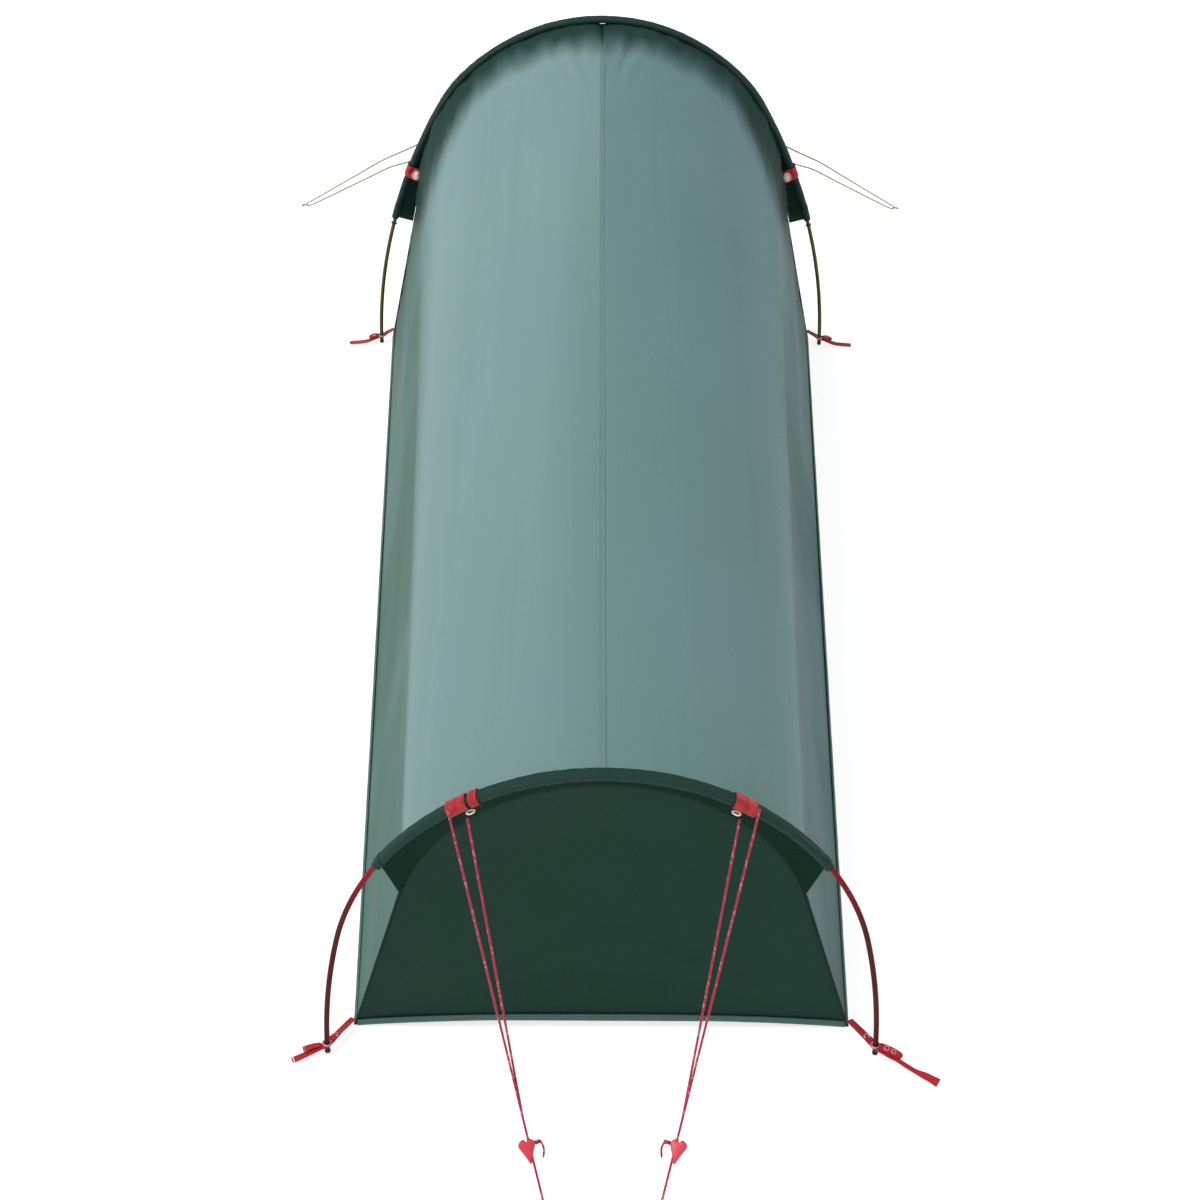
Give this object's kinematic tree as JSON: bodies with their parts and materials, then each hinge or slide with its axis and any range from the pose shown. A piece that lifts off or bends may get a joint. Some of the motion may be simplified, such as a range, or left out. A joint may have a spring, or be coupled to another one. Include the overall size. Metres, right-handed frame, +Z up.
{
  "type": "tunnel tent on two pole hoops",
  "caption": "Tunnel tent for one person: two shock-corded pole hoops in sleeves, fly, end walls, zipped door, corner straps and guylines.",
  "frame": {"origin": "centre of the groundsheet's underside, on the ground, halfway between the two pole hoops", "axes": "+Z up, +Y from the low foot hoop to the tall head hoop, +X to the right seen from the foot end"},
  "size_m": [1.5314, 3.7177, 0.7945],
  "materials": {
    "foot_pole_tube": "anodised",
    "head_pole_tube": "anodised",
    "ferrule_metal": "satin",
    "elastic": "matte",
    "black_plastic": "matte",
    "dark_green_cloth": "woven ripstop",
    "sage_cloth": "woven, coated",
    "grey_green_cloth": "woven, coated",
    "seam_tape": "taped seam",
    "hem_cloth": "folded hem",
    "end_wall_cloth": "woven ripstop",
    "door_cloth": "woven ripstop",
    "zip_tape": "woven tape with coil teeth",
    "zip_metal": "coated",
    "red_webbing": "woven webbing",
    "groundsheet_cloth": "coated taffeta",
    "eyelet_metal": "satin",
    "ring_plastic": "satin",
    "runner_plastic": "matte",
    "red_cord": "braided with tracer",
    "olive_cord": "braided"
  },
  "bodies": {
    "tent": {"foot_pole_1": "foot_pole_tube", "foot_pole_2": "foot_pole_tube", "foot_pole_3": "foot_pole_tube", "foot_pole_4": "foot_pole_tube", "foot_pole_5": "foot_pole_tube", "head_pole_1": "head_pole_tube", "head_pole_2": "head_pole_tube", "head_pole_3": "head_pole_tube", "head_pole_4": "head_pole_tube", "head_pole_5": "head_pole_tube", "head_pole_6": "head_pole_tube", "foot_pole_ferrules": "ferrule_metal", "head_pole_ferrules": "ferrule_metal", "foot_shock_cord": "elastic", "head_shock_cord": "elastic", "pole_tips": "black_plastic", "foot_pole_sleeve": "dark_green_cloth", "head_pole_sleeve": "dark_green_cloth", "foot_hood": "dark_green_cloth", "head_hood": "dark_green_cloth", "sleeve_end_loops": "elastic", "roof_left": "sage_cloth", "roof_right": "grey_green_cloth", "ridge_tape": "seam_tape", "hem_left": "hem_cloth", "hem_right": "hem_cloth", "foot_wall": "end_wall_cloth", "foot_hem": "hem_cloth", "head_wall_left": "end_wall_cloth", "head_wall_right": "end_wall_cloth", "groundsheet": "groundsheet_cloth", "strap_foot_left": "red_webbing", "strap_foot_right": "red_webbing", "strap_head_left": "red_webbing", "strap_head_right": "red_webbing", "strap_eyelets": "eyelet_metal", "foot_guy_patches": "red_webbing", "head_guy_tabs": "red_webbing", "guy_rings": "ring_plastic", "foot_guy_left": "red_cord", "foot_guy_right": "red_cord", "foot_guy_return_left": "red_cord", "foot_guy_return_right": "red_cord", "head_guy_left": "olive_cord", "head_guy_right": "olive_cord", "guy_end_loops": "red_cord"},
    "door_left": {"door_left": "door_cloth", "zip_tape_left": "zip_tape"},
    "door_right": {"door_right": "door_cloth", "zip_tape_right": "zip_tape"},
    "zip_slider": {"zip_slider": "zip_metal"},
    "zip_pull": {"zip_pull": "red_webbing"},
    "runner_left": {"runner_left": "runner_plastic", "runner_knot_left": "red_cord"},
    "runner_right": {"runner_right": "runner_plastic", "runner_knot_right": "red_cord"}
  },
  "joints": [
    {"name": "door_left_fold", "type": "hinge", "parent": "tent", "child": "door_left", "pos_m": [-0.42, 1.17542, 0.045], "axis": [0.5445, -0.0293, 0.8382], "range_deg": [0, 105]},
    {"name": "door_right_fold", "type": "hinge", "parent": "tent", "child": "door_right", "pos_m": [0.42, 1.17542, 0.045], "axis": [0.5445, 0.0293, -0.8382], "range_deg": [0, 105]},
    {"name": "zip_slide", "type": "slide", "parent": "door_left", "child": "zip_slider", "axis": [0, -0.035, 0.9994], "range_m": [0, 0.5]},
    {"name": "zip_pull_swing", "type": "hinge", "parent": "zip_slider", "child": "zip_pull", "pos_m": [0, 1.18148, 0.095], "axis": [1, 0, 0], "range_deg": [0, 80]},
    {"name": "runner_left_slide", "type": "slide", "parent": "tent", "child": "runner_left", "axis": [-0.2526, 0.7625, 0.5957], "range_m": [0, 0.12], "deforming": ["foot_guy_return_left"]},
    {"name": "runner_right_slide", "type": "slide", "parent": "tent", "child": "runner_right", "axis": [0.2526, 0.7625, 0.5957], "range_m": [0, 0.12], "deforming": ["foot_guy_return_right"]}
  ]
}
